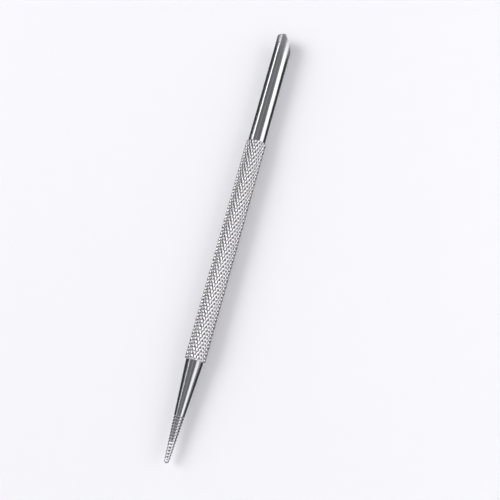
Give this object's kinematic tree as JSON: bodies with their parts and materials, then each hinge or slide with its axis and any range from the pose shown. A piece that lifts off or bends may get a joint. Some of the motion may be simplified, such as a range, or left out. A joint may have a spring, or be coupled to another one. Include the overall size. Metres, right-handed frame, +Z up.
{
  "type": "double-ended scriber",
  "caption": "Slim steel hand tool: knurled round handle with a slant-cut round pusher at one end and a tapered, ring-filed blunt point at the other.",
  "frame": {"origin": "on the surface the tool lies on, under the middle of its length", "axes": "+X along the tool toward the tapered point, +Z up from the surface, the slanted cut at -X faces +Y and down"},
  "size_m": [0.133, 0.006, 0.006],
  "materials": {
    "knurled_steel": "diamond knurled, satin bright",
    "polished_steel": "polished",
    "filed_steel": "polished taper with ring-cut file teeth"
  },
  "bodies": {
    "root": {"handle_tube": "knurled_steel", "pusher_shank": "polished_steel", "file_point": "filed_steel"}
  },
  "joints": []
}
